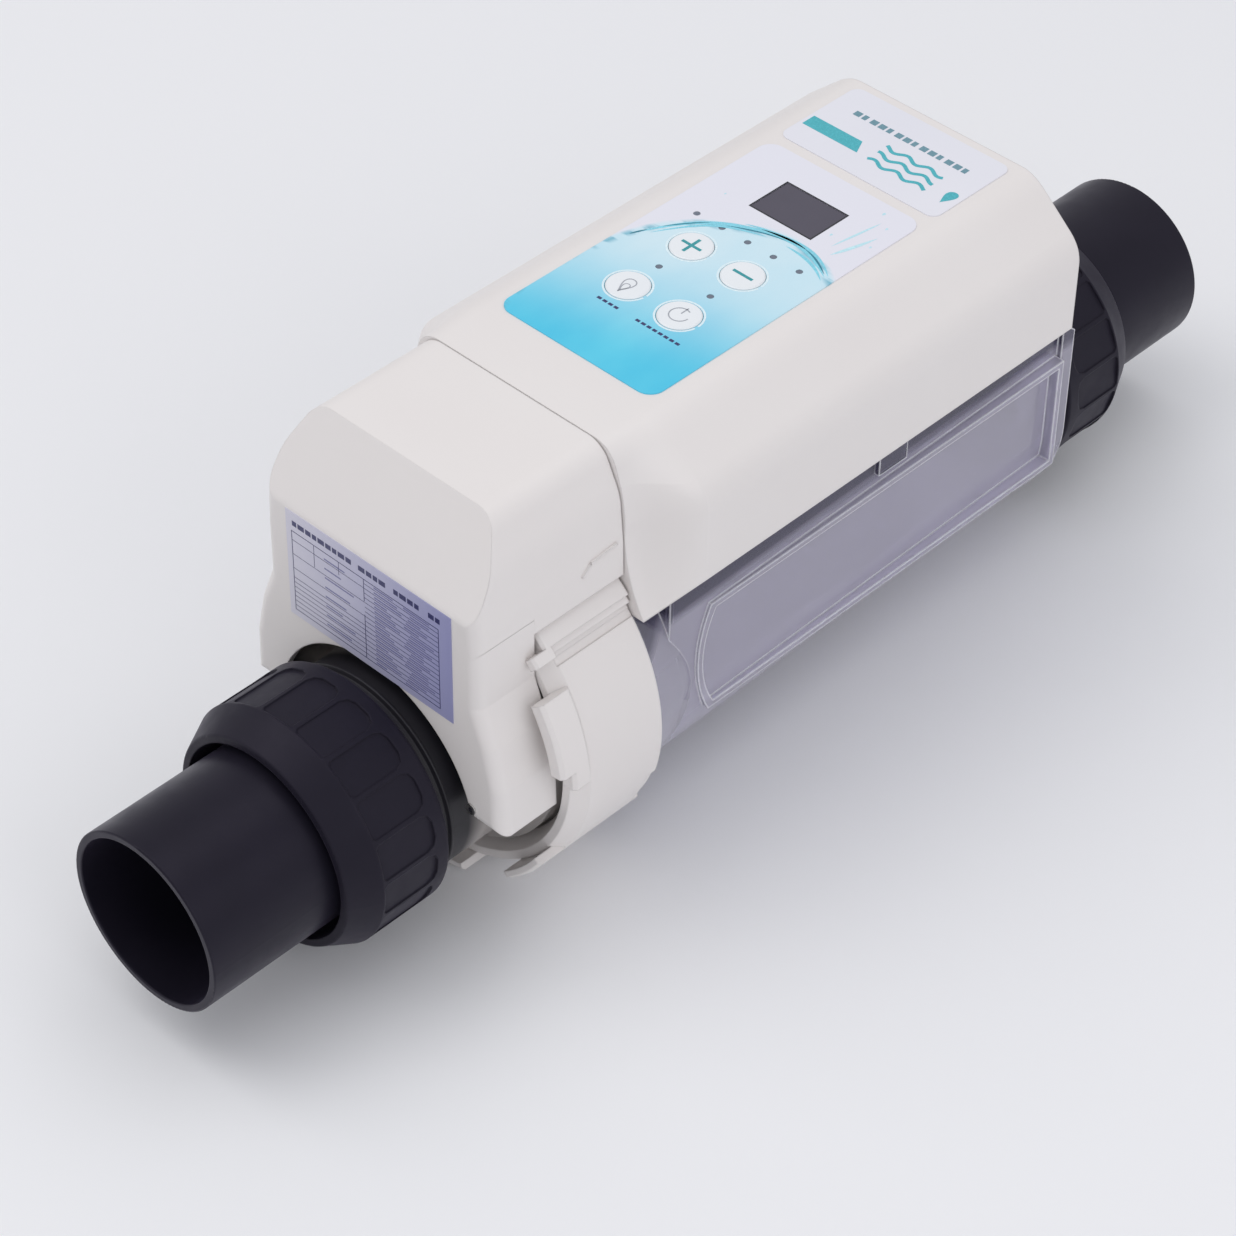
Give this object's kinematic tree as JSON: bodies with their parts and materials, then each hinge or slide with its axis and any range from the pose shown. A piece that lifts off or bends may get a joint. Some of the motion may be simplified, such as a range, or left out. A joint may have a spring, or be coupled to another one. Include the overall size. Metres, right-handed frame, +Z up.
{
  "type": "salt chlorine generator",
  "caption": "Inline pool salt chlorinator: clear electrolysis cell under a control box with buttons and display, hooded electrode head with lock ring, and union pipe sockets at both ends.",
  "frame": {"origin": "centre of the inlet socket's mouth, on the pipe axis", "axes": "+Y along the pipe from inlet to outlet, +Z up through the control panel, +X to the side that carries the lock ring's mark"},
  "size_m": [0.1433, 0.514, 0.18],
  "materials": {
    "ivory": "fine satin texture",
    "black_pvc": "satin",
    "clear_cell": "smoky clear moulding",
    "grey_head": "satin",
    "titanium": "coated mesh-grey plate",
    "steel": "satin",
    "brass": "bright",
    "rubber": "matt",
    "label": "satin film",
    "panel_film": "printed film",
    "white_film": "printed film",
    "window": "dark tinted window",
    "white_key": "satin",
    "board": "solder mask",
    "black_part": "moulded",
    "lamp": "diffused lens",
    "aluminium": "extruded",
    "core": "varnished"
  },
  "bodies": {
    "cell": {"outlet_tailpiece": "black_pvc", "outlet_union_oring": "rubber", "cell_body": "clear_cell", "control_housing": "ivory", "control_base": "grey_head", "housing_gasket": "rubber", "housing_screws": "steel", "side_clips": "clear_cell", "cable_gland": "black_part", "cell_socket": "black_part", "control_board": "board", "power_board": "board", "board_screws": "steel", "transformer": "core", "heat_sink": "aluminium", "capacitors": "black_part", "tact_switches": "black_part", "indicator_lamps": "lamp", "display_module": "black_part", "display_window": "window", "panel_overlay": "panel_film", "name_plate": "white_film", "flow_switch": "black_part"},
    "cartridge": {"electrode_head": "grey_head", "mouth_oring": "rubber", "electrode_plates": "titanium", "plate_spacers": "grey_head", "terminal_studs": "titanium", "terminal_nuts": "brass", "temperature_sensor": "steel", "hood": "ivory", "hood_screws": "steel", "rating_label": "label", "cell_plug": "black_part", "inlet_tailpiece": "black_pvc", "inlet_union_oring": "rubber"},
    "ring": {"lock_ring": "ivory"},
    "inlet_slip": {"inlet_thrust_washer": "black_part"},
    "inlet_nut": {"inlet_union_nut": "black_pvc"},
    "outlet_slip": {"outlet_thrust_washer": "black_part"},
    "outlet_nut": {"outlet_union_nut": "black_pvc"},
    "key_plus": {"button_plus": "white_key"},
    "key_minus": {"button_minus": "white_key"},
    "key_boost": {"button_boost": "white_key"},
    "key_standby": {"button_standby": "white_key"},
    "paddle": {"flow_paddle": "black_part"}
  },
  "joints": [
    {"name": "cartridge_pull", "type": "slide", "parent": "cell", "child": "cartridge", "axis": [0, -1, 0], "range_m": [0, 0.24]},
    {"name": "lock_ring_turn", "type": "hinge", "parent": "cartridge", "child": "ring", "pos_m": [0, 0.154, 0.0175], "axis": [0, 1, 0], "range_deg": [0, 60]},
    {"name": "inlet_slip_slide", "type": "slide", "parent": "cartridge", "child": "inlet_slip", "axis": [0, -1, 0], "range_m": [0, 0.0161]},
    {"name": "inlet_nut_turn", "type": "hinge", "parent": "inlet_slip", "child": "inlet_nut", "pos_m": [0, 0.074, 0], "axis": [0, -1, 0], "range_deg": [0, 1440]},
    {"name": "outlet_slip_slide", "type": "slide", "parent": "cell", "child": "outlet_slip", "axis": [0, 1, 0], "range_m": [0, 0.0161]},
    {"name": "outlet_nut_turn", "type": "hinge", "parent": "outlet_slip", "child": "outlet_nut", "pos_m": [0, 0.44, 0], "axis": [0, 1, 0], "range_deg": [0, 1440]},
    {"name": "plus_press", "type": "slide", "parent": "cell", "child": "key_plus", "axis": [0, 0, -1], "range_m": [0, 0.0008], "stiffness_N_per_m": 900},
    {"name": "minus_press", "type": "slide", "parent": "cell", "child": "key_minus", "axis": [0, 0, -1], "range_m": [0, 0.0008], "stiffness_N_per_m": 900},
    {"name": "boost_press", "type": "slide", "parent": "cell", "child": "key_boost", "axis": [0, 0, -1], "range_m": [0, 0.0008], "stiffness_N_per_m": 900},
    {"name": "standby_press", "type": "slide", "parent": "cell", "child": "key_standby", "axis": [0, 0, -1], "range_m": [0, 0.0008], "stiffness_N_per_m": 900},
    {"name": "flow_paddle_swing", "type": "hinge", "parent": "cell", "child": "paddle", "pos_m": [0, 0.368, 0.042], "axis": [1, 0, 0], "range_deg": [0, 25]}
  ],
  "couplings": [
    {"joint": "inlet_slip_slide", "follows": "inlet_nut_turn", "m_per_rad": 0.00063662},
    {"joint": "outlet_slip_slide", "follows": "outlet_nut_turn", "m_per_rad": 0.00063662}
  ]
}
